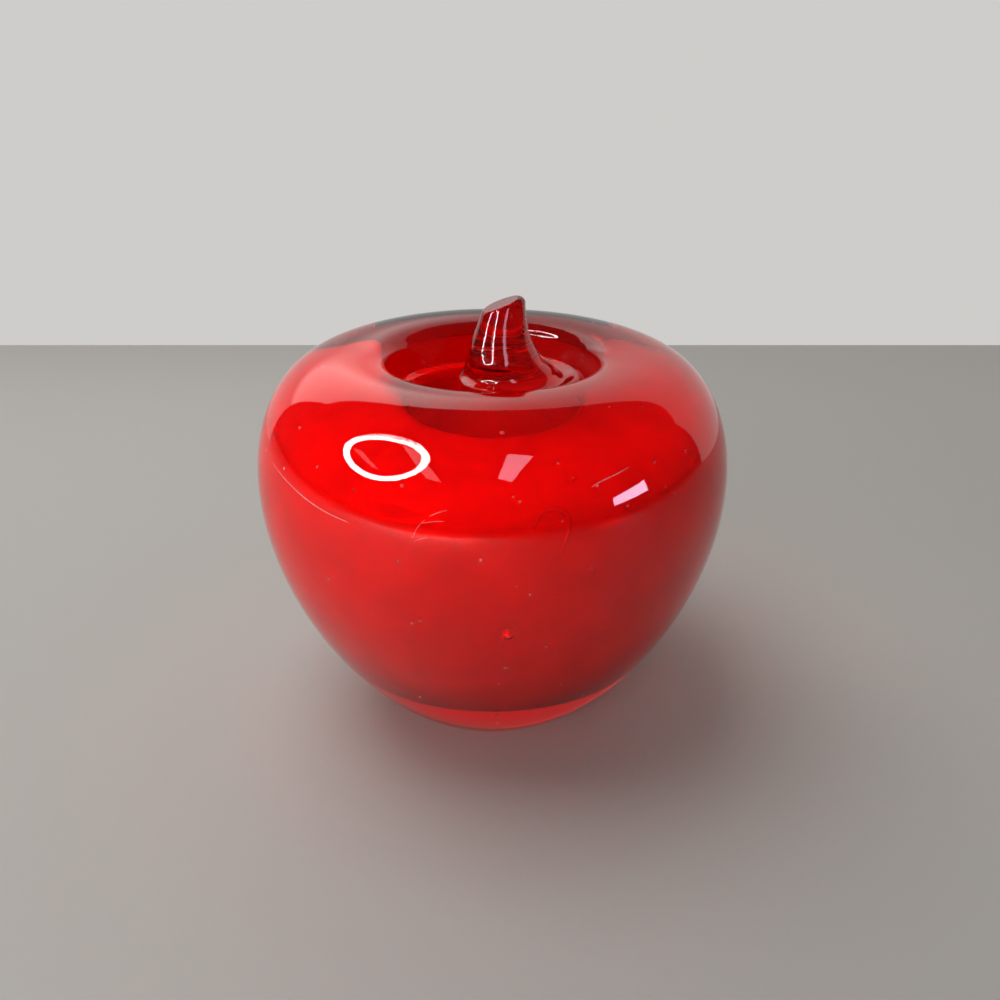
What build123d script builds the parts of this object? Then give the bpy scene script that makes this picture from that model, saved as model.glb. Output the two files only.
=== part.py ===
from build123d import *
import os

# Art glass apple: a solid, hot-worked paperweight. A first gather of glass is
# cased in transparent ruby glass, shaped as an apple and ground flat below, and
# one more bit of ruby glass is dropped into the dimple and pulled up as a stem.
# Millimetres, +Z up, origin at the centre of the flat base.

# Ruby casing, outside
body_radius = 42.5           # half the width, at the widest place
widest_height = 45.9         # height of the widest place
base_radius = 19.9           # flat ground base
base_edge_radius = 1.2       # arris between base and flank, rubbed round
crest_radius = 26.2          # circle on which the shoulder is highest
crest_height = 68.0          # top of the shoulder

# Dimple in the top of the casing
lip_radius = 18.7            # top of the dimple's steep wall
lip_drop = 2.4               # from the crest down to the top of the wall
dimple_depth = 8.0           # from the crest down to the floor
dimple_floor_radius = 17.0   # foot of the wall
dimple_corner_radius = 1.8   # hollow between wall and floor

# Inner gather, with the ruby glass that covers it
side_cover = 8.0             # ruby glass at the widest place
base_cover = 11.5            # ruby glass under the gather
dimple_cover = 18.0          # ruby glass between the gather and the dimple floor
shoulder_cover = 11.6        # ruby glass over the gather's own crest
core_base_radius = 11.0      # where the gather's flank starts
core_crest_radius = 21.0     # circle on which the gather is highest

# Stem bit: a foot pooled on the dimple floor, and a leaning spike
foot_x = 5.2                 # the foot lies off the apple's axis
foot_y = 1.2
foot_radius = 11.6           # foot, out to its round edge
foot_thickness = 3.4         # at the foot's raised lip
foot_lip_radius = 9.9        # circle on which the lip is highest
foot_trough_radius = 6.6     # circle on which the trough is lowest
foot_trough_drop = 0.8       # from the lip down to the trough
stem_height = 16.5           # from the dimple floor to the tip
stem_lean = 2.5              # how far to the right the spike's foot and its top lie
stem_lean_back = 5.0         # how far back the spike's top lies
spike_radius = 8.7           # spike where it flares out of the foot
tip_tilt = 20.3              # slope of the sheared tip, in degrees
tip_edge_radius = 1.2        # sheared edge, melted round

# Curves, as shares of the sizes that they join
flank_foot_shares = (0.51, 0.20)       # out from the base towards the flank
flank_top_share = 0.39                 # below the widest place
shoulder_low_share = 0.50              # above the widest place
shoulder_top_share = 0.70              # out from the crest towards the widest place
lip_top_share = 0.62                   # in from the crest towards the lip
lip_low_share = 0.75                   # above the lip
core_flank_foot_shares = (0.55, 0.16)
core_shoulder_low_share = 0.60
core_shoulder_top_share = 0.74
core_dish_shares = (0.80, 0.75)        # of the core's crest circle, above and below
foot_bulge_share = 0.40

# Spike rings: height, centre to the right and back, and radius, as shares of stem
# height, the two leans and spike radius
spike_ring_shares = (
    (0.15, 1.32, 0.00, 1.09),
    (0.20, 1.18, 0.02, 1.03),
    (0.27, 1.06, 0.11, 0.93),
    (0.39, 0.84, 0.26, 0.75),
    (0.55, 0.66, 0.41, 0.62),
    (0.70, 0.70, 0.57, 0.52),
    (0.85, 0.82, 0.73, 0.445),
    (1.00, 0.97, 0.93, 0.38),
    (1.15, 1.04, 1.05, 0.31),
)
tip_x_share = 0.92           # point that the sheared face passes through
tip_height_share = 0.947

dimple_floor = crest_height - dimple_depth
lip_height = crest_height - lip_drop
wall_lean = (lip_radius - dimple_floor_radius) / (lip_height - dimple_floor)


# Inner gather: it follows the apple's own form, with a dish under the dimple
core_radius = body_radius - side_cover
core_crest_height = crest_height - shoulder_cover
core_dish_height = dimple_floor - dimple_cover

with BuildPart() as inner_core:
    with BuildSketch(Plane.XZ):
        with BuildLine():
            Line((0, base_cover), (core_base_radius, base_cover))
            Bezier(
                (core_base_radius, base_cover),
                (core_base_radius + core_flank_foot_shares[0] * (core_radius - core_base_radius),
                 base_cover + core_flank_foot_shares[1] * (widest_height - base_cover)),
                (core_radius, widest_height - flank_top_share * (widest_height - base_cover)),
                (core_radius, widest_height),
            )
            Bezier(
                (core_radius, widest_height),
                (core_radius,
                 widest_height + core_shoulder_low_share * (core_crest_height - widest_height)),
                (core_crest_radius + core_shoulder_top_share * (core_radius - core_crest_radius),
                 core_crest_height),
                (core_crest_radius, core_crest_height),
            )
            Bezier(
                (core_crest_radius, core_crest_height),
                (core_crest_radius * core_dish_shares[0], core_crest_height),
                (core_crest_radius * core_dish_shares[1], core_dish_height),
                (0, core_dish_height),
            )
            Line((0, core_dish_height), (0, base_cover))
        make_face()
    revolve(axis=Axis.Z)
inner_core.part.label = "inner_core"


# Ruby casing: foot, flank, widest place, shoulder, rolled lip and dimple
with BuildPart() as ruby_casing:
    with BuildSketch(Plane.XZ) as casing_half:
        with BuildLine():
            Line((0, 0), (base_radius, 0))
            Bezier(
                (base_radius, 0),
                (base_radius + flank_foot_shares[0] * (body_radius - base_radius),
                 flank_foot_shares[1] * widest_height),
                (body_radius, widest_height - flank_top_share * widest_height),
                (body_radius, widest_height),
            )
            Bezier(
                (body_radius, widest_height),
                (body_radius, widest_height + shoulder_low_share * (crest_height - widest_height)),
                (crest_radius + shoulder_top_share * (body_radius - crest_radius), crest_height),
                (crest_radius, crest_height),
            )
            Bezier(
                (crest_radius, crest_height),
                (crest_radius - lip_top_share * (crest_radius - lip_radius), crest_height),
                (lip_radius + wall_lean * lip_low_share * lip_drop,
                 lip_height + lip_low_share * lip_drop),
                (lip_radius, lip_height),
            )
            Line((lip_radius, lip_height), (dimple_floor_radius, dimple_floor))
            Line((dimple_floor_radius, dimple_floor), (0, dimple_floor))
            Line((0, dimple_floor), (0, 0))
        make_face()
        base_corner = casing_half.vertices().sort_by_distance((base_radius, 0))[0]
        fillet(base_corner, radius=base_edge_radius)
        floor_corner = casing_half.vertices().sort_by_distance((dimple_floor_radius, dimple_floor))[0]
        fillet(floor_corner, radius=dimple_corner_radius)
    revolve(axis=Axis.Z)
    add(inner_core.part, mode=Mode.SUBTRACT)
ruby_casing.part.label = "ruby_casing"


# Stem bit: the foot takes the form of the dimple that it was dropped into
foot_top = dimple_floor + foot_thickness
foot_trough = foot_top - foot_trough_drop
foot_plane = Plane(origin=(foot_x, foot_y, 0), x_dir=(1, 0, 0), z_dir=(0, -1, 0))
trough_middle = (foot_lip_radius + foot_trough_radius) / 2
tip_plane = Plane(
    origin=(tip_x_share * stem_lean, 0, dimple_floor + tip_height_share * stem_height),
    x_dir=(0, 1, 0),
    z_dir=Vector(0, 0, 1).rotate(Axis.Y, -tip_tilt),
)

with BuildPart() as stem:
    with BuildSketch(foot_plane):
        with BuildLine():
            Line((0, dimple_floor), (foot_lip_radius, dimple_floor))
            Bezier(
                (foot_lip_radius, dimple_floor),
                (foot_radius, dimple_floor),
                (foot_radius + foot_bulge_share * (foot_radius - foot_lip_radius), foot_top),
                (foot_lip_radius, foot_top),
            )
            Bezier(
                (foot_lip_radius, foot_top),
                (trough_middle, foot_top),
                (trough_middle, foot_trough),
                (foot_trough_radius, foot_trough),
            )
            Line((foot_trough_radius, foot_trough), (0, foot_trough))
            Line((0, foot_trough), (0, dimple_floor))
        make_face()
    revolve(axis=Axis((foot_x, foot_y, 0), (0, 0, 1)))
    for height_share, lean_share, back_share, radius_share in spike_ring_shares:
        ring_origin = (lean_share * stem_lean, back_share * stem_lean_back,
                       dimple_floor + height_share * stem_height)
        with BuildSketch(Plane(origin=ring_origin)):
            Circle(radius_share * spike_radius)
    loft()
    split(bisect_by=tip_plane, keep=Keep.BOTTOM)
    sheared_face = stem.faces().sort_by(Axis(tip_plane.origin, tip_plane.z_dir))[-1]
    fillet(sheared_face.edges(), radius=tip_edge_radius)
    add(ruby_casing.part, mode=Mode.SUBTRACT)
stem.part.label = "stem"


os.makedirs("parts", exist_ok=True)
export_step(ruby_casing.part, "parts/ruby_casing.step")
export_step(inner_core.part, "parts/inner_core.step")
export_step(stem.part, "parts/stem.step")
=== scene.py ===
import math
import bpy
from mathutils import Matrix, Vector, noise


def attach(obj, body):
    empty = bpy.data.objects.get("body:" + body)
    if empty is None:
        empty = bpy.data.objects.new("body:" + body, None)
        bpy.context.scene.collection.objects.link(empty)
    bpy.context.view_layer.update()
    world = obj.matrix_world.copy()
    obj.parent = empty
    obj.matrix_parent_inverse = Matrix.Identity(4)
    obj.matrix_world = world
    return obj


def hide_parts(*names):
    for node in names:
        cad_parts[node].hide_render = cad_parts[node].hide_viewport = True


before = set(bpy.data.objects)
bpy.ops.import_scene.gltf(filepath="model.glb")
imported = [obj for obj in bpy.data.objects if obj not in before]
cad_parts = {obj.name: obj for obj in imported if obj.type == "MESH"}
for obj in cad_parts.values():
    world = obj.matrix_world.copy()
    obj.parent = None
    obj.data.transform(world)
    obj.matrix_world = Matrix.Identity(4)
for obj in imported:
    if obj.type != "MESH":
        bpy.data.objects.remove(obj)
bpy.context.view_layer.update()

mm = 0.001
scene = bpy.context.scene


def linear(hexColour):
    # sRGB hex to the linear colour that the shaders take
    parts = [int(hexColour[i:i + 2], 16) / 255 for i in (1, 3, 5)]
    return tuple(c / 12.92 if c <= 0.04045 else ((c + 0.055) / 1.055) ** 2.4 for c in parts) + (1.0,)


def addNode(tree, kind, settings=None, inputs=None):
    # inputs hold plain values, or (node, output) for a link
    node = tree.nodes.new(kind)
    for name, value in (settings or {}).items():
        setattr(node, name, value)
    for key, value in (inputs or {}).items():
        socket = node.inputs[key]
        if isinstance(value, tuple) and isinstance(value[0], bpy.types.Node):
            tree.links.new(value[0].outputs[value[1]], socket)
        else:
            socket.default_value = value
    return node


def emptyMaterial(name):
    material = bpy.data.materials.new(name)
    material.use_nodes = True
    material.node_tree.nodes.clear()
    return material, material.node_tree


def bezier(a, b, c, d, count):
    # cubic curve from a to d, with handles b and c
    points = []
    for i in range(count + 1):
        t = i / count
        k = ((1 - t) ** 3, 3 * t * (1 - t) ** 2, 3 * t * t * (1 - t), t ** 3)
        points.append(tuple(k[0] * a[j] + k[1] * b[j] + k[2] * c[j] + k[3] * d[j] for j in range(2)))
    return points


def straight(a, b, count):
    return [(a[0] + (b[0] - a[0]) * i / count, a[1] + (b[1] - a[1]) * i / count) for i in range(count + 1)]


def roundCorner(before, corner, after, radius, count):
    # arc of the given radius between two straight runs, from the first run to the second
    corner = Vector(corner)
    back = (Vector(before) - corner).normalized()
    on = (Vector(after) - corner).normalized()
    half = back.angle(on) / 2
    centre = corner + (back + on).normalized() * radius / math.sin(half)
    start = corner + back * radius / math.tan(half) - centre
    end = corner + on * radius / math.tan(half) - centre
    turn = start.angle(end)
    points = []
    for i in range(count + 1):
        mix = start * math.sin((1 - i / count) * turn) + end * math.sin(i / count * turn)
        points.append(tuple(centre + mix / math.sin(turn)))
    return points


def through(rows, v):
    # rows of numbers, read at v: a smooth curve passes through the first at 0, the next at 1 and so on
    i = min(int(v), len(rows) - 2)
    t = v - i
    near = (rows[min(max(i + n, 0), len(rows) - 1)] for n in (-1, 0, 1, 2))
    return [0.5 * (2 * b + (c - a) * t + (2 * a - 5 * b + 4 * c - d) * t * t
                   + (3 * b - a - 3 * c + d) * t ** 3) for a, b, c, d in zip(*near)]


def smoothStep(low, high, x):
    t = min(max((x - low) / (high - low), 0.0), 1.0)
    return t * t * (3 - 2 * t)


def circle(count):
    return [math.tau * j / count for j in range(count)]


def newObject(name, verts, faces, *materials):
    mesh = bpy.data.meshes.new(name)
    mesh.from_pydata([Vector(v) * mm for v in verts], [], faces)
    mesh.polygons.foreach_set("use_smooth", [True] * len(mesh.polygons))
    for material in materials:
        mesh.materials.append(material)
    mesh.update()
    obj = bpy.data.objects.new(name, mesh)
    scene.collection.objects.link(obj)
    return obj


def skinRings(rings):
    # rings of points that run anticlockwise seen from above, or one point for a pole
    verts, faces, index = [], [], []
    for ring in rings:
        index.append(range(len(verts), len(verts) + len(ring)))
        verts += ring
    for low, high in zip(index[:-1], index[1:]):
        count = max(len(low), len(high))
        for j in range(count):
            k = (j + 1) % count
            if len(low) == 1:
                faces.append((low[0], high[k], high[j]))
            elif len(high) == 1:
                faces.append((low[j], low[k], high[0]))
            else:
                faces.append((low[j], low[k], high[k], high[j]))
    return verts, faces


def spin(profile, piece):
    # turns a profile (radius, height) about Z; a soft uneven wave only takes glass away
    rings = []
    flatBelow = piece["flatBelow"]
    for i, (r, z) in enumerate(profile):
        if r < 1e-6:
            rings.append([(0, 0, z)])
            continue
        a, b = profile[max(i - 1, 0)], profile[min(i + 1, len(profile) - 1)]
        along = Vector((b[0] - a[0], b[1] - a[1])).normalized()
        fade = piece["wave"] * smoothStep(flatBelow, flatBelow + 4, z) * smoothStep(0, 6, r)
        ring = []
        for angle in circle(piece["segments"]):
            c, s = math.cos(angle), math.sin(angle)
            place = Vector((r * c, r * s, z)) / piece["waveLength"] + Vector((piece["waveSeed"], 0, 0))
            depth = fade * (0.5 + 0.5 * noise.noise(place))
            ring.append(((r - depth * along[1]) * c, (r - depth * along[1]) * s, z + depth * along[0]))
        rings.append(ring)
    return skinRings(rings)


# sizes in mm
rubyBatch = {
    "ior": 1.47,
    "cordSpacing": 9.0, "cordRelief": 0.015,        # cords in the melt
    "chillSpacing": 1.2, "chillRelief": 0.003,      # chill marks
    "scuffSpacing": 0.4, "scuffSpread": 4.0,        # grit marks on the base
    "scuffFrom": 17.5, "scuffTo": 20.5,             # radii at which the wear starts and is full
    "scuffRoughness": 0.42,
}


def rubyGlass(name, density, roughness, red=0.998, ground=False):
    # Selenium ruby glass: clear, and so deep a red that a few millimetres let no green or blue through
    g = rubyBatch
    material, tree = emptyMaterial(name)
    place = addNode(tree, "ShaderNodeTexCoord")
    drift = addNode(tree, "ShaderNodeTexNoise", {}, {
        "Vector": (place, "Object"), "Scale": 1 / (g["cordSpacing"] * mm), "Detail": 2.0, "Roughness": 0.4})
    peel = addNode(tree, "ShaderNodeTexNoise", {}, {
        "Vector": (place, "Object"), "Scale": 1 / (g["chillSpacing"] * mm), "Detail": 1.0})
    wide = addNode(tree, "ShaderNodeBump", {}, {
        "Strength": 0.2, "Distance": g["cordRelief"] * mm, "Height": (drift, "Fac")})
    fine = addNode(tree, "ShaderNodeBump", {}, {
        "Strength": 0.25, "Distance": g["chillRelief"] * mm, "Height": (peel, "Fac"),
        "Normal": (wide, "Normal")})
    shader = addNode(tree, "ShaderNodeBsdfPrincipled", {}, {
        "Base Color": (1, 1, 1, 1), "Roughness": roughness, "IOR": g["ior"], "Transmission Weight": 1.0,
        "Normal": (fine, "Normal")})
    if ground:
        # lapped flat and polished, then worn in a ring by shelves and tables
        apart = addNode(tree, "ShaderNodeVectorMath", {"operation": "MULTIPLY"}, {
            0: (place, "Object"), 1: (1, 1, 0)})
        reach = addNode(tree, "ShaderNodeVectorMath", {"operation": "LENGTH"}, {0: (apart, "Vector")})
        scuff = addNode(tree, "ShaderNodeTexNoise", {}, {
            "Vector": (place, "Object"), "Scale": 1 / (g["scuffSpacing"] * mm), "Detail": 4.0})
        spread = addNode(tree, "ShaderNodeMath", {"operation": "MULTIPLY_ADD"}, {
            0: (scuff, "Fac"), 1: g["scuffSpread"] * mm, 2: (reach, "Value")})
        wear = addNode(tree, "ShaderNodeMapRange", {}, {
            "Value": (spread, 0), "From Min": g["scuffFrom"] * mm, "From Max": g["scuffTo"] * mm,
            "To Min": roughness, "To Max": g["scuffRoughness"]})
        tree.links.new(wear.outputs["Result"], shader.inputs["Roughness"])
    body = addNode(tree, "ShaderNodeVolumeAbsorption", {}, {
        "Color": (red, 0.0, 0.0, 1.0), "Density": density})
    addNode(tree, "ShaderNodeOutputMaterial", {}, {"Surface": (shader, "BSDF"), "Volume": (body, "Volume")})
    return material


firePolishedRuby = rubyGlass("firePolishedRubyGlass", 1500, 0.0)
groundRuby = rubyGlass("groundRubyGlass", 1500, 0.05, ground=True)
drawnRuby = rubyGlass("drawnRubyGlass", 1400, 0.0, red=0.98)    # a deeper batch than the casing


def paintedReflectionOnCut():
    # Where the shears cut the stem: fine chill wrinkles in relief, and over the red a painted mauve-pink
    # reflection of the bright wall, put into the base colour
    material, tree = emptyMaterial("cutRubyPaintedReflection")
    place = addNode(tree, "ShaderNodeTexCoord")
    wrinkle = addNode(tree, "ShaderNodeTexNoise", {}, {    # about 0.5 mm apart
        "Vector": (place, "Object"), "Scale": 1 / (0.5 * mm), "Detail": 2.0})
    # painted reflection: the mauve-pink of the bright wall, put into the colour and varied with the wrinkles
    paintedWallReflection = addNode(tree, "ShaderNodeMix", {"data_type": "RGBA"}, {
        "Factor": (wrinkle, "Fac"), 6: linear("#7A2A30"), 7: linear("#A8565C")})
    relief = addNode(tree, "ShaderNodeBump", {}, {
        "Strength": 0.3, "Distance": 0.02 * mm, "Height": (wrinkle, "Fac")})
    shader = addNode(tree, "ShaderNodeBsdfPrincipled", {}, {
        "Base Color": (paintedWallReflection, 2), "Roughness": 0.22, "IOR": rubyBatch["ior"], "Normal": (relief, "Normal")})
    addNode(tree, "ShaderNodeOutputMaterial", {}, {"Surface": (shader, "BSDF")})
    return material


cutPaintedReflection = paintedReflectionOnCut()


# sizes in mm, here and in the gather, the stem and the large seeds
casing = {
    "bodyRadius": 42.5, "widestHeight": 45.9,
    "baseRadius": 19.9, "baseEdge": 1.2,
    "crestRadius": 26.2, "crestHeight": 68.0,
    "lipRadius": 18.7, "lipDrop": 2.4,
    "dimpleDepth": 8.0, "floorRadius": 17.0, "floorCorner": 1.8,
    # handles of the curves, as shares of the sizes that they join
    "flankFoot": (0.51, 0.20), "flankTop": 0.61, "shoulderLow": 0.50, "shoulderTop": 0.70,
    "lipTop": 0.62, "lipLow": 0.75,
    # rings of the mesh on each stretch
    "rings": {"base": 14, "edge": 6, "flank": 72, "shoulder": 56,
              "roll": 26, "wall": 5, "corner": 12, "floor": 18},
    "segments": 256, "wave": 0.02, "waveLength": 30.0, "waveSeed": 3.0, "flatBelow": 1.5,
}
dimpleFloor = casing["crestHeight"] - casing["dimpleDepth"]


def casingProfile():
    c = casing
    count = c["rings"]
    lip = c["crestHeight"] - c["lipDrop"]
    width = c["bodyRadius"] - c["baseRadius"]
    rise, inward = c["crestHeight"] - c["widestHeight"], c["bodyRadius"] - c["crestRadius"]
    lean = (c["lipRadius"] - c["floorRadius"]) / (lip - dimpleFloor)
    foot = (c["baseRadius"], 0.0)
    footHandle = (c["baseRadius"] + c["flankFoot"][0] * width, c["flankFoot"][1] * c["widestHeight"])
    widest = (c["bodyRadius"], c["widestHeight"])
    crest = (c["crestRadius"], c["crestHeight"])
    lipPoint, corner = (c["lipRadius"], lip), (c["floorRadius"], dimpleFloor)
    flank = bezier(
        foot, footHandle, (c["bodyRadius"], c["flankTop"] * c["widestHeight"]), widest, count["flank"])
    shoulder = bezier(
        widest, (c["bodyRadius"], c["widestHeight"] + c["shoulderLow"] * rise),
        (c["crestRadius"] + c["shoulderTop"] * inward, c["crestHeight"]), crest, count["shoulder"])
    roll = bezier(
        crest, (c["crestRadius"] - c["lipTop"] * (c["crestRadius"] - c["lipRadius"]), c["crestHeight"]),
        (c["lipRadius"] + lean * c["lipLow"] * c["lipDrop"], lip + c["lipLow"] * c["lipDrop"]), lipPoint,
        count["roll"])
    edge = roundCorner((0, 0), foot, footHandle, c["baseEdge"], count["edge"])
    hollow = roundCorner(lipPoint, corner, (0, dimpleFloor), c["floorCorner"], count["corner"])
    # the rounded edge takes the place of the flank's first points
    return (straight((0, 0), edge[0], count["base"]) + edge[1:] + flank[2:] + shoulder[1:] + roll[1:]
            + straight(lipPoint, hollow[0], count["wall"])[1:] + hollow[1:]
            + straight(hollow[-1], (0, dimpleFloor), count["floor"])[1:])


profile = casingProfile()
verts, faces = spin(profile, casing)
rubyCasing = newObject("rubyCasing", verts, faces, firePolishedRuby, groundRuby)
for face in rubyCasing.data.polygons:
    if max(rubyCasing.data.vertices[i].co.z for i in face.vertices) < 0.01 * mm:
        face.material_index = 1
print("ruby casing:", len(faces), "faces")


gather = {
    "sideCover": 8.0, "baseCover": 11.5, "dimpleCover": 18.0, "shoulderCover": 11.6,
    "baseRadius": 11.0, "baseEdge": 0.4, "crestRadius": 21.0,
    # handles of the curves, as shares
    "flankFoot": (0.55, 0.16), "flankTop": 0.39, "shoulderLow": 0.60, "shoulderTop": 0.74,
    "dish": (0.80, 0.75),
    "rings": {"base": 6, "flank": 48, "shoulder": 32, "dish": 32},
    "segments": 192, "wave": 0.35, "waveLength": 19.0, "waveSeed": 11.0, "flatBelow": 12,
}


def gatherProfile(g, c):
    base, top = g["baseCover"], c["crestHeight"] - g["shoulderCover"]
    dish = dimpleFloor - g["dimpleCover"]
    widest = (c["bodyRadius"] - g["sideCover"], c["widestHeight"])
    width = widest[0] - g["baseRadius"]
    crest = (g["crestRadius"], top)
    flank = bezier(
        (g["baseRadius"], base),
        (g["baseRadius"] + g["flankFoot"][0] * width, base + g["flankFoot"][1] * (widest[1] - base)),
        (widest[0], widest[1] - g["flankTop"] * (widest[1] - base)), widest, g["rings"]["flank"])
    shoulder = bezier(
        widest, (widest[0], widest[1] + g["shoulderLow"] * (top - widest[1])),
        (crest[0] + g["shoulderTop"] * (widest[0] - crest[0]), top), crest, g["rings"]["shoulder"])
    hollow = bezier(crest, (g["dish"][0] * crest[0], top), (g["dish"][1] * crest[0], dish), (0, dish),
                    g["rings"]["dish"])
    flat = straight((0, base), (g["baseRadius"] - g["baseEdge"], base), g["rings"]["base"])
    return flat + flank[1:] + shoulder[1:] + hollow[1:]


def denseRedGlass():
    # Opal red glass of the first gather: light goes a little way in and comes back as an even, full red
    material, tree = emptyMaterial("denseRedGlass")
    place = addNode(tree, "ShaderNodeTexCoord")
    swirl = addNode(tree, "ShaderNodeTexNoise", {}, {      # streaks of colour turned in with the iron, 14 mm
        "Vector": (place, "Object"), "Scale": 1 / (14 * mm), "Detail": 3.0, "Distortion": 1.2})
    tone = addNode(tree, "ShaderNodeMapRange", {}, {
        "Value": (swirl, "Fac"), "From Min": 0.35, "From Max": 0.65})
    colour = addNode(tree, "ShaderNodeMix", {"data_type": "RGBA"}, {
        "Factor": (tone, "Result"), 6: linear("#D80A0A"), 7: linear("#E60D0D")})
    shader = addNode(tree, "ShaderNodeBsdfPrincipled", {}, {
        "Base Color": (colour, 2), "Roughness": 0.10, "Specular IOR Level": 0.25})
    addNode(tree, "ShaderNodeOutputMaterial", {}, {"Surface": (shader, "BSDF")})
    return material


denseRed = denseRedGlass()
verts, faces = spin(gatherProfile(gather, casing), gather)
innerCore = newObject("innerCore", verts, faces, denseRed)
print("inner core:", len(faces), "faces")


stem = {
    "footX": 5.2, "footY": 1.2,
    # the foot from below: height, centre to the right and back of the foot's own, radius, and how far it
    # reaches out and sinks on the left, where it has no lip
    "foot": [
        (-0.15, 0, 0, 3.96, 0, 0), (-0.15, 0, 0, 7.92, 0, 0), (-0.15, 0, 0, 10.5, 0, 0),
        (0.45, 0, 0, 11.25, 0, 0), (1.53, 0, 0, 11.6, 0, 0), (2.788, 0, 0, 11.1, 0.1, 0.1),
        (3.4, 0, 0, 9.9, 0.95, 0.5), (2.72, -1.0, -0.3, 8.6, 1.2, -0.15)],
    "height": 16.5, "lean": 2.5, "leanBack": 5.0, "radius": 8.7,
    # the spike: height, centre to the right and back, and radius, as shares of the four sizes above
    "spike": [
        (0.20, 1.30, 0.42, 0.96), (0.25, 1.16, 0.50, 0.92), (0.32, 0.96, 0.42, 0.828),
        (0.39, 0.84, 0.30, 0.747), (0.55, 0.66, 0.41, 0.62), (0.70, 0.70, 0.57, 0.52),
        (0.85, 0.82, 0.73, 0.445), (1.00, 0.97, 0.93, 0.38), (1.15, 1.04, 1.05, 0.31)],
    # ridges that the pull left
    "draw": 0.03, "ridges": 5, "twist": 1.2,
    # the cut that the shears made, and its melted edge
    "tipX": 2.3, "tipHeight": 15.62, "tipTilt": 20.3, "tipEdge": 1.2,
    "segments": 144, "footRings": 24, "spikeRings": 48, "edgeRings": 8, "faceRings": (0.3, 0.65),
    # above this height the cut gets the matt material with the painted reflection
    "paintedReflectionAbove": 66.0,
    "frothAbove": 70.5, "frothRightOf": 2.2,
}


def stemMesh(s, floor):
    rows = [(high, s["footX"] + right, s["footY"] + back, radius, reach, drop)
            for high, right, back, radius, reach, drop in s["foot"]]
    rows += [(high * s["height"], right * s["lean"], back * s["leanBack"], radius * s["radius"], 0, 0)
             for high, right, back, radius in s["spike"]]
    throat = 6                  # row of the foot's lip: rings are closer from there on
    lowestCut = 12              # row under the cut

    def side(v, angle):
        high, midX, midY, radius, reach, drop = through(rows, v)
        left = smoothStep(-0.1, 1.0, -math.cos(angle))
        share = high / s["height"]
        turn = angle + s["twist"] * share
        ridge = 0.5 + 0.5 * math.sin(s["ridges"] * turn + 2 * math.sin(2 * turn))
        radius += reach * left - s["draw"] * smoothStep(0.2, 0.5, share) * ridge
        return Vector((midX + radius * math.cos(angle), midY + radius * math.sin(angle),
                       floor + high - drop * left))

    def search(low, high, test):
        # where the test starts to hold, between low and high
        for _ in range(30):
            middle = (low + high) / 2
            low, high = (low, middle) if test(middle) else (middle, high)
        return low

    slope = math.tan(math.radians(s["tipTilt"]))

    def pastCut(point):
        return point.z > floor + s["tipHeight"] + slope * (point.x - s["tipX"])

    angles = circle(s["segments"])
    lowRings, highRings = s["footRings"], s["spikeRings"]
    cuts = [search(lowestCut, len(rows) - 1.01, lambda v: pastCut(side(v, angle))) for angle in angles]
    corners = [side(v, angle) for v, angle in zip(cuts, angles)]
    middle = sum(corners, Vector()) / len(corners)
    columns = []
    for v, angle, corner in zip(cuts, angles, corners):
        arc = roundCorner(side(v - 0.2, angle), corner, middle, s["tipEdge"], s["edgeRings"])
        arc = [Vector(point) for point in arc]
        reach = (arc[0] - corner).length
        last = search(v - 3, v, lambda w: (side(w, angle) - corner).length < reach)
        column = [side(throat * k / lowRings, angle) for k in range(lowRings)]
        column += [side(throat + (last - throat) * k / highRings, angle) for k in range(highRings)]
        columns.append(column + arc + [arc[-1].lerp(middle, share) for share in s["faceRings"]])
    rings = [list(ring) for ring in zip(*columns)]
    return skinRings([[(s["footX"], s["footY"], floor + s["foot"][0][0])]] + rings + [[middle]])


verts, faces = stemMesh(stem, dimpleFloor)
stemBit = newObject("stemBit", verts, faces, drawnRuby, cutPaintedReflection)
tilt = math.radians(stem["tipTilt"])
cutNormal = Vector((-math.sin(tilt), 0, math.cos(tilt)))
for face in stemBit.data.polygons:
    # the shears left the end matt; these faces also carry the painted mauve-pink reflection
    if face.normal.dot(cutNormal) > 0.96 and face.center.z > stem["paintedReflectionAbove"] * mm:
        face.material_index = 1
print("stem:", len(faces), "faces")


def trappedAir():
    # Seeds, which are air bubbles: their walls throw light back, so each shows as a silvery bead
    material, tree = emptyMaterial("trappedAir")
    place = addNode(tree, "ShaderNodeTexCoord")
    wall = addNode(tree, "ShaderNodeTexNoise", {}, {       # uneven walls, about 0.3 mm
        "Vector": (place, "Object"), "Scale": 1 / (0.3 * mm), "Detail": 1.0})
    sheen = addNode(tree, "ShaderNodeMapRange", {}, {
        "Value": (wall, "Fac"), "From Min": 0.35, "From Max": 0.65, "To Min": 0.22, "To Max": 0.45})
    shader = addNode(tree, "ShaderNodeBsdfPrincipled", {}, {
        "Base Color": linear("#FFFFFF"), "Metallic": 0.35, "Roughness": (sheen, "Result")})
    addNode(tree, "ShaderNodeOutputMaterial", {}, {"Surface": (shader, "BSDF")})
    return material


airMaterial = trappedAir()
seedCloud = {
    "Density": 7000.0,            # seeds per square metre of casing
    "Seed": 7,
    "Smallest": 0.05 * mm, "Largest": 0.19 * mm,
    "Shallowest": 0.3 * mm, "Deepest": 2.4 * mm,
    "Patch Size": 26 * mm,        # seeds keep together in clouds of this size
}
seedHost = {"above": 3.0, "segments": 96, "everyRing": 3}
# a fine froth under the skin of the stem's end, where the shears chilled the glass
frothCloud = {
    "Density": 900000.0,
    "Seed": 4,
    "Smallest": 0.03 * mm, "Largest": 0.10 * mm,
    "Shallowest": 0.12 * mm, "Deepest": 0.6 * mm,
    "Patch Size": 3 * mm,
}


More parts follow.
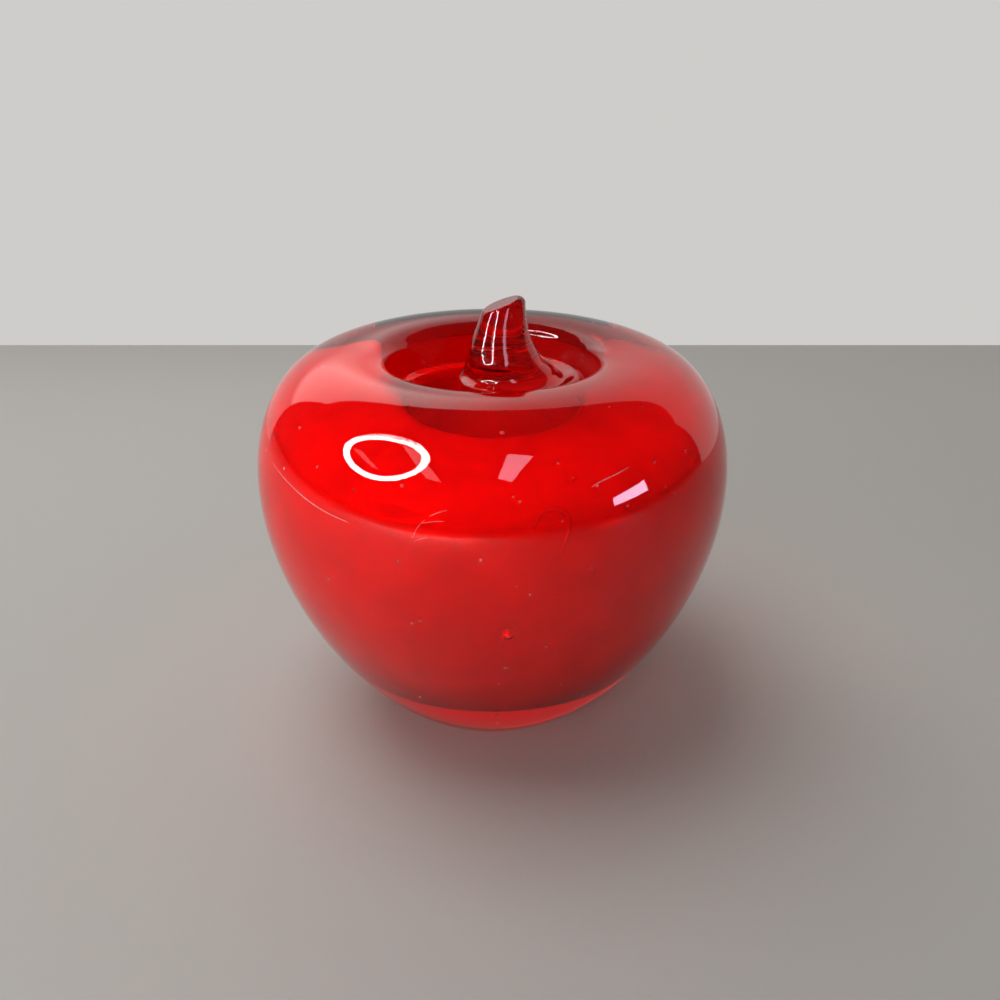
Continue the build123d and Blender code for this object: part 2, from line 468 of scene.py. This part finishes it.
def seedTree(values, material):
    # spreads points over the glass, keeps them in clouds, sinks each by its own depth and puts a bead there
    tree = bpy.data.node_groups.new("seedCloud", "GeometryNodeTree")
    tree.interface.new_socket("Glass", in_out="INPUT", socket_type="NodeSocketGeometry")
    for name, value in values.items():
        kind = "NodeSocketInt" if isinstance(value, int) else "NodeSocketFloat"
        tree.interface.new_socket(name, in_out="INPUT", socket_type=kind)
    tree.interface.new_socket("Seeds", in_out="OUTPUT", socket_type="NodeSocketGeometry")
    given = addNode(tree, "NodeGroupInput")
    spread = addNode(tree, "GeometryNodeDistributePointsOnFaces", {"distribute_method": "RANDOM"}, {
        "Mesh": (given, "Glass"), "Density": (given, "Density"), "Seed": (given, "Seed")})
    patch = addNode(tree, "ShaderNodeMath", {"operation": "DIVIDE"}, {0: 1.0, 1: (given, "Patch Size")})
    cloud = addNode(tree, "ShaderNodeTexNoise", {}, {"Scale": (patch, 0), "Detail": 1.0})
    thin = addNode(tree, "ShaderNodeMapRange", {}, {
        "Value": (cloud, 0), "From Min": 0.40, "From Max": 0.66, "To Min": 1.0, "To Max": 0.0})
    draw = addNode(tree, "FunctionNodeRandomValue", {"data_type": "FLOAT"}, {"Seed": 1})
    bare = addNode(tree, "FunctionNodeCompare", {"data_type": "FLOAT", "operation": "LESS_THAN"}, {
        0: (draw, 1), 1: (thin, 0)})
    kept = addNode(tree, "GeometryNodeDeleteGeometry", {"domain": "POINT"}, {
        "Geometry": (spread, "Points"), "Selection": (bare, 0)})
    depth = addNode(tree, "FunctionNodeRandomValue", {"data_type": "FLOAT"}, {
        2: (given, "Shallowest"), 3: (given, "Deepest"), "Seed": 2})
    inward = addNode(tree, "ShaderNodeMath", {"operation": "MULTIPLY"}, {0: (depth, 1), 1: -1.0})
    sink = addNode(tree, "ShaderNodeVectorMath", {"operation": "SCALE"}, {
        0: (spread, "Normal"), 3: (inward, 0)})
    placed = addNode(tree, "GeometryNodeSetPosition", {}, {"Geometry": (kept, 0), "Offset": (sink, 0)})
    bead = addNode(tree, "GeometryNodeMeshUVSphere", {}, {"Segments": 8, "Rings": 6, "Radius": 1.0})
    roll = addNode(tree, "FunctionNodeRandomValue", {"data_type": "FLOAT"}, {2: 0.0, 3: 1.0, "Seed": 3})
    mostlySmall = addNode(tree, "ShaderNodeMath", {"operation": "POWER"}, {0: (roll, 1), 1: 2.5})
    size = addNode(tree, "ShaderNodeMapRange", {}, {
        "Value": (mostlySmall, 0), "To Min": (given, "Smallest"), "To Max": (given, "Largest")})
    turn = addNode(tree, "FunctionNodeRandomValue", {"data_type": "FLOAT_VECTOR"}, {
        0: (0, 0, 0), 1: (math.tau, math.tau, math.tau), "Seed": 4})
    beads = addNode(tree, "GeometryNodeInstanceOnPoints", {}, {
        "Points": (placed, 0), "Instance": (bead, "Mesh"), "Scale": (size, 0), "Rotation": (turn, 0)})
    real = addNode(tree, "GeometryNodeRealizeInstances", {}, {"Geometry": (beads, 0)})
    smooth = addNode(tree, "GeometryNodeSetShadeSmooth", {}, {"Geometry": (real, 0)})
    coat = addNode(tree, "GeometryNodeSetMaterial", {}, {"Geometry": (smooth, 0), "Material": material})
    addNode(tree, "NodeGroupOutput", {}, {"Seeds": (coat, 0)})
    return tree


def growSeeds(name, values, verts, faces):
    # seeds under the skin that is given; the skin itself goes
    host = newObject(name + "Host", verts, faces)
    modifier = host.modifiers.new("seedCloud", "NODES")
    modifier.node_group = seedTree(values, airMaterial)
    for item in modifier.node_group.interface.items_tree:
        if item.in_out == "INPUT" and item.name in values:
            modifier[item.identifier] = values[item.name]
    graph = bpy.context.evaluated_depsgraph_get()
    mesh = bpy.data.meshes.new_from_object(host.evaluated_get(graph), depsgraph=graph)
    bpy.data.objects.remove(host)
    obj = bpy.data.objects.new(name, mesh)
    scene.collection.objects.link(obj)
    return obj


# the casing without its base, so that no seed opens on the ground face, and without its middle
skin = [(r, z) for r, z in profile if z > seedHost["above"]][:-1][::seedHost["everyRing"]]
verts, faces = skinRings([[(r * math.cos(a), r * math.sin(a), z) for a in circle(seedHost["segments"])]
                          for r, z in skin])
seeds = growSeeds("seeds", seedCloud, verts, faces)
print("seeds:", len(seeds.data.polygons), "faces")

chilled = [face for face in stemBit.data.polygons if face.material_index == 0
           and face.center.z > stem["frothAbove"] * mm and face.center.x > stem["frothRightOf"] * mm]
used = sorted({i for face in chilled for i in face.vertices})
order = {i: n for n, i in enumerate(used)}
froth = growSeeds("froth", frothCloud, [stemBit.data.vertices[i].co / mm for i in used],
                  [tuple(order[i] for i in face.vertices) for face in chilled])
print("froth:", len(froth.data.polygons), "faces")


largeSeeds = {
    # seeds large enough to tell apart: azimuth from the front, height, depth, radius, drawn length, slope
    "beads": [
        (3.4, 34.3, 2.2, 1.0, 1.0, 0), (4.3, 58.2, 0.8, 0.20, 1.0, 0), (5.7, 57.5, 0.8, 0.24, 1.0, 0),
        (-2.3, 48.9, 0.8, 0.30, 1.25, 80), (-38.1, 40.5, 0.7, 0.24, 1.0, 0),
        (-17.6, 36.2, 0.7, 0.22, 1.2, 20), (-15.6, 37.0, 0.7, 0.16, 2.2, 25),
        (12.1, 31.9, 0.8, 0.20, 1.0, 0), (-19.6, 47.4, 0.8, 0.16, 1.2, 90), (20.8, 46.1, 0.8, 0.15, 1.0, 0),
        (14.8, 62.2, 0.8, 0.16, 1.3, 120), (17.7, 60.1, 0.8, 0.14, 1.0, 0), (50.5, 59.3, 0.6, 0.22, 1.2, 80),
        (-54.6, 55.6, 0.5, 0.20, 1.3, 110), (-42.7, 58.4, 0.6, 0.20, 1.4, 70),
        (-53.9, 62.1, 0.5, 0.22, 1.0, 0), (-19.7, 58.9, 0.8, 0.26, 1.1, 0), (-31.2, 56.9, 0.7, 0.16, 1.0, 0),
        (22.9, 58.6, 0.6, 0.24, 1.0, 0), (3.2, 27.4, 0.8, 0.26, 1.4, 160), (40.8, 55.7, 0.6, 0.18, 1.5, 150),
        (29.6, 54.8, 0.6, 0.20, 1.2, 0), (39.2, 59.7, 0.6, 0.14, 1.6, 60), (2.5, 66.0, 0.9, 0.30, 1.4, 170),
    ],
    "beadRings": 10, "beadSides": 16,
    # seeds drawn out into threads as the casing was turned: depth, radius, and azimuth and height along it
    "threads": [
        (0.25, 0.07, [
            (-60.9, 55.1), (-55.5, 54.5), (-49.5, 53.8), (-43.2, 53.0), (-37.3, 52.4), (-31.2, 52.0)]),
        (0.25, 0.07, [(21.4, 58.5), (23.4, 59.0), (27.1, 59.5), (31.5, 60.1)]),
        (0.55, 0.06, [(-9.3, 56.2), (-11.1, 55.8), (-13.1, 55.1)]),
        (0.55, 0.06, [(-9.8, 54.6), (-12.2, 54.4), (-14.7, 54.0)]),
        (0.60, 0.06, [(-13.9, 54.6), (-15.5, 53.2), (-16.5, 51.4)]),
        (0.60, 0.06, [(-13.2, 51.9), (-14.6, 51.6), (-16.3, 51.1)]),
    ],
    "threadSteps": 6, "threadSides": 10,
    # a cord of the core's red glass, dragged up into the casing
    "cord": (1.10, 0.42, [
        (8.5, 53.2), (8.9, 54.3), (10.2, 55.6), (12.6, 56.1), (14.7, 55.7), (15.8, 54.6), (15.9, 53.0),
        (14.8, 50.6), (14.0, 49.1)]),
}


flankAndShoulder = [point for point in profile if point[0] >= casing["baseRadius"]]


def underSkin(azimuth, height, depth):
    # point under the casing's skin, and the directions around the apple and up its flank there
    for a, b in zip(flankAndShoulder[:-1], flankAndShoulder[1:]):
        if a[1] <= height <= b[1]:
            break
    along = Vector((b[0] - a[0], b[1] - a[1])).normalized()
    r = a[0] + (b[0] - a[0]) * (height - a[1]) / max(b[1] - a[1], 1e-6)
    turn = math.radians(azimuth)
    out = Vector((math.sin(turn), -math.cos(turn), 0))
    return (out * (r - depth * along[1]) + Vector((0, 0, height + depth * along[0])),
            Vector((math.cos(turn), math.sin(turn), 0)), out * along[0] + Vector((0, 0, along[1])))


def bead(azimuth, height, depth, radius, drawn, slope):
    centre, around, up = underSkin(azimuth, height, depth)
    tilt = math.radians(slope)
    long = around * math.cos(tilt) + up * math.sin(tilt)
    wide = around * -math.sin(tilt) + up * math.cos(tilt)
    deep = long.cross(wide)
    count = largeSeeds["beadRings"]
    rings = [[centre - long * radius * drawn]]
    for i in range(1, count):
        lat = math.pi * i / count
        middle = centre - long * radius * drawn * math.cos(lat)
        rings.append([middle + (wide * math.cos(a) + deep * math.sin(a)) * radius * math.sin(lat)
                      for a in circle(largeSeeds["beadSides"])])
    rings.append([centre + long * radius * drawn])
    return skinRings(rings)


def thread(depth, radius, places):
    steps = largeSeeds["threadSteps"]
    path = [through(places, i + n / steps) for i in range(len(places) - 1) for n in range(steps)]
    path.append(places[-1])
    spots = [underSkin(azimuth, height, depth) for azimuth, height in path]
    rings = [[spots[0][0]]]
    for i in range(1, len(spots) - 1):
        centre, around, up = spots[i]
        along = (spots[i + 1][0] - spots[i - 1][0]).normalized()
        wide = around.cross(up).cross(along).normalized()
        thick = radius * math.sin(math.pi * i / (len(spots) - 1)) ** 0.5
        rings.append([centre + (wide * math.cos(a) + along.cross(wide) * math.sin(a)) * thick
                      for a in circle(largeSeeds["threadSides"])])
    rings.append([spots[-1][0]])
    return skinRings(rings)


verts, faces = [], []
for moreVerts, moreFaces in ([bead(*spec) for spec in largeSeeds["beads"]]
                             + [thread(*spec) for spec in largeSeeds["threads"]]):
    faces += [tuple(i + len(verts) for i in face) for face in moreFaces]
    verts += moreVerts
placedSeeds = newObject("placedSeeds", verts, faces, airMaterial)
print("placed seeds:", len(faces), "faces")
redCord = newObject("redCord", *thread(*largeSeeds["cord"]), denseRed)


for piece, node in ((rubyCasing, "ruby_casing"), (innerCore, "inner_core"), (stemBit, "stem")):
    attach(piece, "root")
    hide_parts(node)
for piece in (seeds, froth, placedSeeds, redCord):
    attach(piece, "root")


# metres and degrees
view = {
    "place": (0, -0.17034, 0.11981), "down": 25.465,
    "sensor": 36, "lens": 36, "shift": 0.0075, "clipStart": 0.01,
}
camera = bpy.data.objects.new("camera", bpy.data.cameras.new("camera"))
camera.data.sensor_width = view["sensor"]
camera.data.lens = view["lens"]
camera.data.shift_x = view["shift"]
camera.data.clip_start = view["clipStart"]
camera.location = view["place"]
camera.rotation_euler = (math.radians(90 - view["down"]), 0, 0)
scene.collection.objects.link(camera)
scene.camera = camera
scene.view_settings.view_transform = "Standard"
scene.cycles.max_bounces = 24
scene.cycles.transmission_bounces = 24
scene.cycles.glossy_bounces = 12


# metres
studio = {
    "floor": "#B9B6B1", "floorHalf": 3.0, "sky": 0.05,
    "wall": "#FFFDFA", "wallAway": 0.23, "wallLeft": -0.30, "wallRight": 0.60, "wallHeight": 0.33,
    "paper": 0.62, "board": (1.60, 0.58),       # glow of the wall in view, and above that, left and right
    "boardFade": (-0.07, 0.03), "boardFoot": (0.13, 0.16),      # where it goes over, across and upwards
    # soft boxes: place, size, watts
    "lamps": {
        "key": ((-0.28, 0.06, 0.78), (0.60, 0.60), 3.7),
        "fill": ((-0.24, -0.42, 0.11), (0.40, 0.12), 1.5),
    },
    "lampAim": (0, 0, 0.035),
    # windows that only the glass mirrors: colour, glow, corners
    "windows": {
        "roofWindow": ("#F4E6FF", 5.5, [
            (0.072, -0.348, 0.687), (0.195, -0.362, 0.654), (0.103, -0.609, 0.454), (0.029, -0.595, 0.485)]),
        "sideWindow": ("#E2DAFF", 17.0, [
            (0.511, -0.368, 0.139), (0.514, -0.373, 0.086), (0.602, -0.190, 0.094), (0.591, -0.191, 0.167)]),
        "leftPane": ("#FFD9DC", 2.2, [
            (-0.801, -0.136, 0.595), (-0.769, -0.207, 0.619),
            (-0.740, -0.450, 0.516), (-0.773, -0.400, 0.507)]),
        "middlePane": ("#FFD9DC", 2.8, [
            (-0.521, -0.234, 0.842), (-0.457, -0.356, 0.838),
            (-0.364, -0.768, 0.553), (-0.462, -0.707, 0.561)]),
    },
    # ring lamp, out along its aim from the place on the shoulder that mirrors its middle, with a cut fringe
    "ringAim": (-0.693, -0.333, 0.639), "ringFrom": (-0.016, -0.034, 0.062), "ringAway": 0.70,
    "ringRadius": 0.236, "ringTube": 0.024, "ringGlow": 32.0, "ringSegments": 160, "ringSides": 16,
    "teeth": 27, "teethFrom": 20.0, "teethStep": 3.3, "toothHalf": 0.012, "toothLength": (0.012, 0.040),
}


def paint(name, colour, roughness):
    material, tree = emptyMaterial(name)
    shader = addNode(tree, "ShaderNodeBsdfPrincipled", {}, {
        "Base Color": linear(colour), "Roughness": roughness})
    addNode(tree, "ShaderNodeOutputMaterial", {}, {"Surface": (shader, "BSDF")})
    return material


def glow(name, strength, colour=(1, 1, 1, 1)):
    material, tree = emptyMaterial(name)
    light = addNode(tree, "ShaderNodeEmission", {}, {"Color": colour, "Strength": strength})
    addNode(tree, "ShaderNodeOutputMaterial", {}, {"Surface": (light, "Emission")})
    return material


def litPaper(name, s):
    # paper backdrop, plain where the camera sees it, and above that lit from the left as by a window
    material, tree = emptyMaterial(name)
    place = addNode(tree, "ShaderNodeTexCoord")
    axes = addNode(tree, "ShaderNodeSeparateXYZ", {}, {"Vector": (place, "Object")})
    across = addNode(tree, "ShaderNodeMapRange", {"interpolation_type": "SMOOTHSTEP"}, {
        "Value": (axes, "X"), "From Min": s["boardFade"][0], "From Max": s["boardFade"][1],
        "To Min": s["board"][0], "To Max": s["board"][1]})
    up = addNode(tree, "ShaderNodeMapRange", {"interpolation_type": "SMOOTHSTEP"}, {
        "Value": (axes, "Z"), "From Min": s["boardFoot"][0], "From Max": s["boardFoot"][1]})
    strength = addNode(tree, "ShaderNodeMix", {"data_type": "FLOAT"}, {
        0: (up, "Result"), 2: s["paper"], 3: (across, "Result")})
    light = addNode(tree, "ShaderNodeEmission", {}, {"Color": linear(s["wall"]), "Strength": (strength, 0)})
    addNode(tree, "ShaderNodeOutputMaterial", {}, {"Surface": (light, "Emission")})
    return material


def stageMesh(name, verts, faces, material):
    mesh = bpy.data.meshes.new(name)
    mesh.from_pydata(verts, [], faces)
    mesh.materials.append(material)
    obj = bpy.data.objects.new(name, mesh)
    scene.collection.objects.link(obj)
    return obj


def ringLampMesh(s):
    # ring lamp on the left, in front, which the shoulder mirrors as an oval
    aim = Vector(s["ringAim"]).normalized()
    middle = Vector(s["ringFrom"]) + aim * s["ringAway"]
    side = aim.cross(Vector((0, 0, 1))).normalized()
    over = side.cross(aim)
    rounds, sides = s["ringSegments"], s["ringSides"]
    verts, faces = [], []
    for i, a in enumerate(circle(rounds)):
        out = side * math.cos(a) + over * math.sin(a)
        for j, b in enumerate(circle(sides)):
            verts.append(middle + out * (s["ringRadius"] + s["ringTube"] * math.cos(b))
                         + aim * s["ringTube"] * math.sin(b))
            here, there = i * sides, (i + 1) % rounds * sides
            faces.append((here + j, there + j, there + (j + 1) % sides, here + (j + 1) % sides))
    near = s["ringRadius"] + 0.9 * s["ringTube"]
    half = s["toothHalf"]
    for i in range(s["teeth"]):
        a = math.radians(s["teethFrom"] + s["teethStep"] * i)
        far = near + s["toothLength"][0] + s["toothLength"][1] * math.sin(math.pi * i / (s["teeth"] - 1))
        verts += [middle + (side * math.cos(a + da) + over * math.sin(a + da)) * r
                  for da, r in ((-half, near), (half, near), (half, far), (-half, far))]
        faces.append(tuple(range(len(verts) - 4, len(verts))))
    return verts, faces


half = studio["floorHalf"]
corners = [(-half, -half, 0), (half, -half, 0), (half, half, 0), (-half, half, 0)]
stageMesh("floor", corners, [(0, 1, 2, 3)], paint("paleTableTop", studio["floor"], 0.7))
away, high, left, right = (studio[name] for name in ("wallAway", "wallHeight", "wallLeft", "wallRight"))
corners = [(left, away, 0), (right, away, 0), (right, away, high), (left, away, high)]
stageMesh("wall", corners, [(0, 1, 2, 3)], litPaper("litPaper", studio))

for name, (colour, strength, corners) in studio["windows"].items():
    window = stageMesh(name, corners, [(0, 1, 2, 3)], glow(name, strength, linear(colour)))
    window.visible_camera = window.visible_diffuse = False

ringLamp = stageMesh("ringLamp", *ringLampMesh(studio), glow("ringLampTube", studio["ringGlow"]))
ringLamp.visible_camera = ringLamp.visible_diffuse = False

for name, (place, size, watts) in studio["lamps"].items():
    lamp = bpy.data.objects.new(name, bpy.data.lights.new(name, "AREA"))
    lamp.data.shape = "RECTANGLE"
    lamp.data.size, lamp.data.size_y = size
    lamp.data.energy = watts
    lamp.location = place
    lamp.rotation_euler = (Vector(studio["lampAim"]) - lamp.location).to_track_quat("-Z", "Y").to_euler()
    lamp.visible_camera = lamp.visible_glossy = False
    scene.collection.objects.link(lamp)

world = bpy.data.worlds.new("studio")
world.use_nodes = True
world.node_tree.nodes["Background"].inputs["Color"].default_value = (studio["sky"],) * 3 + (1,)
scene.world = world
print("stage ready")
